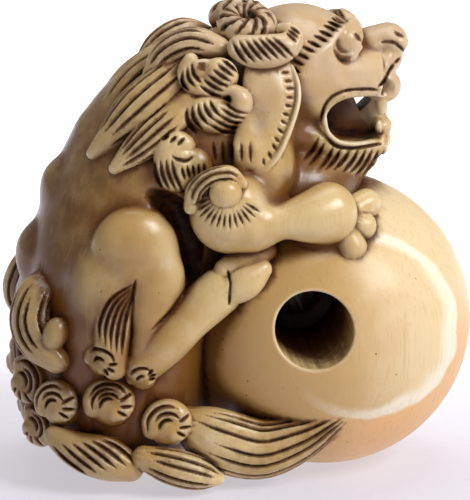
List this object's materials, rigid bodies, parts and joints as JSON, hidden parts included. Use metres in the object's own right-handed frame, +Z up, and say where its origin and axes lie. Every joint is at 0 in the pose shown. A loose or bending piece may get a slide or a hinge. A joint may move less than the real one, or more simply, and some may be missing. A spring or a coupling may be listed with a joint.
{
  "type": "netsuke",
  "caption": "Ivory netsuke of a shishi clutching a ball, with curled locks and a wide cord hole in the ball, one solid carving that stands by its own weight.",
  "frame": {"origin": "on the standing surface, under the middle of the carving's bounding box", "axes": "+X the way the shishi faces, over the ball; -Y the side with the wide cord hole; +Z up"},
  "size_m": [0.0382, 0.0242, 0.0388],
  "materials": {
    "ivory": "old polished ivory, warm cream to honey, with brown stain in the cuts and greyer wear on the back"
  },
  "bodies": {
    "root": {"shishi_and_ball": "ivory"}
  },
  "joints": []
}
